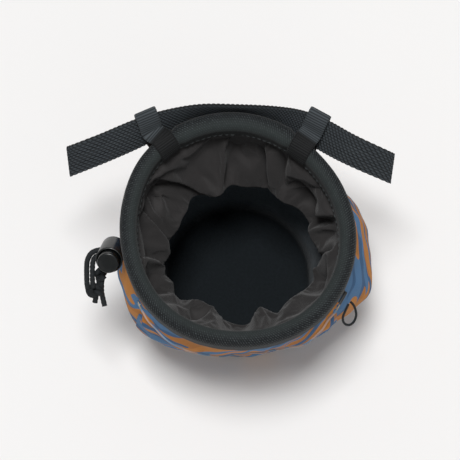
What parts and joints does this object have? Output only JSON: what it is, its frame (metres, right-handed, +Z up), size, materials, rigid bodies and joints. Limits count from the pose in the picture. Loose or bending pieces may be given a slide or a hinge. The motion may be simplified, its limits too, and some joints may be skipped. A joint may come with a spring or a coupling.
{
  "type": "climbing chalk bag",
  "caption": "Round cloth chalk bag with a stiff bound rim, a gathered inner closure on a drawcord with a spring cord lock, a curved front zip pocket and a webbing belt in ribbon loops.",
  "frame": {"origin": "the middle of the base's underside, on the ground that the bag stands on", "axes": "+Z up towards the mouth, +Y towards the belt at the back, -Y towards the zip pocket, -X towards the cord lock"},
  "size_m": [0.1739, 0.1286, 0.1549],
  "materials": {
    "printed_shell": "printed woven cloth",
    "base_cloth": "coated woven cloth",
    "fleece": "deep pile",
    "skirt_cloth": "thin smooth woven cloth",
    "binding_webbing": "twill tape",
    "zip_tape": "woven tape",
    "printed_pocket": "printed woven cloth",
    "piping": "rolled cloth edge",
    "zip_slider": "satin",
    "elastic_cord": "braided cord",
    "belt_webbing": "woven webbing",
    "loop_ribbon": "grosgrain ribbon",
    "lock_plastic": "satin",
    "drawcord": "braided cord"
  },
  "bodies": {
    "bag": {"outer_shell": "printed_shell", "base_panel": "base_cloth", "fleece_lining": "fleece", "closure_skirt": "skirt_cloth", "rim_binding": "binding_webbing", "zip_tape": "zip_tape", "pocket_panel": "printed_pocket", "pocket_flap": "printed_pocket", "flap_piping": "piping", "zip_slider": "zip_slider", "zip_pull": "elastic_cord", "belt": "belt_webbing", "belt_loop_left": "loop_ribbon", "belt_loop_right": "loop_ribbon", "cord_lock_barrel": "lock_plastic", "drawcord_front": "drawcord", "drawcord_rear": "drawcord", "drawcord_knot": "drawcord"},
    "lock_button": {"cord_lock_button": "lock_plastic"}
  },
  "joints": [
    {"name": "lock_button_press", "type": "slide", "parent": "bag", "child": "lock_button", "axis": [0.09, 0.568, -0.8181], "range_m": [0, 0.004], "stiffness_N_per_m": 400}
  ]
}
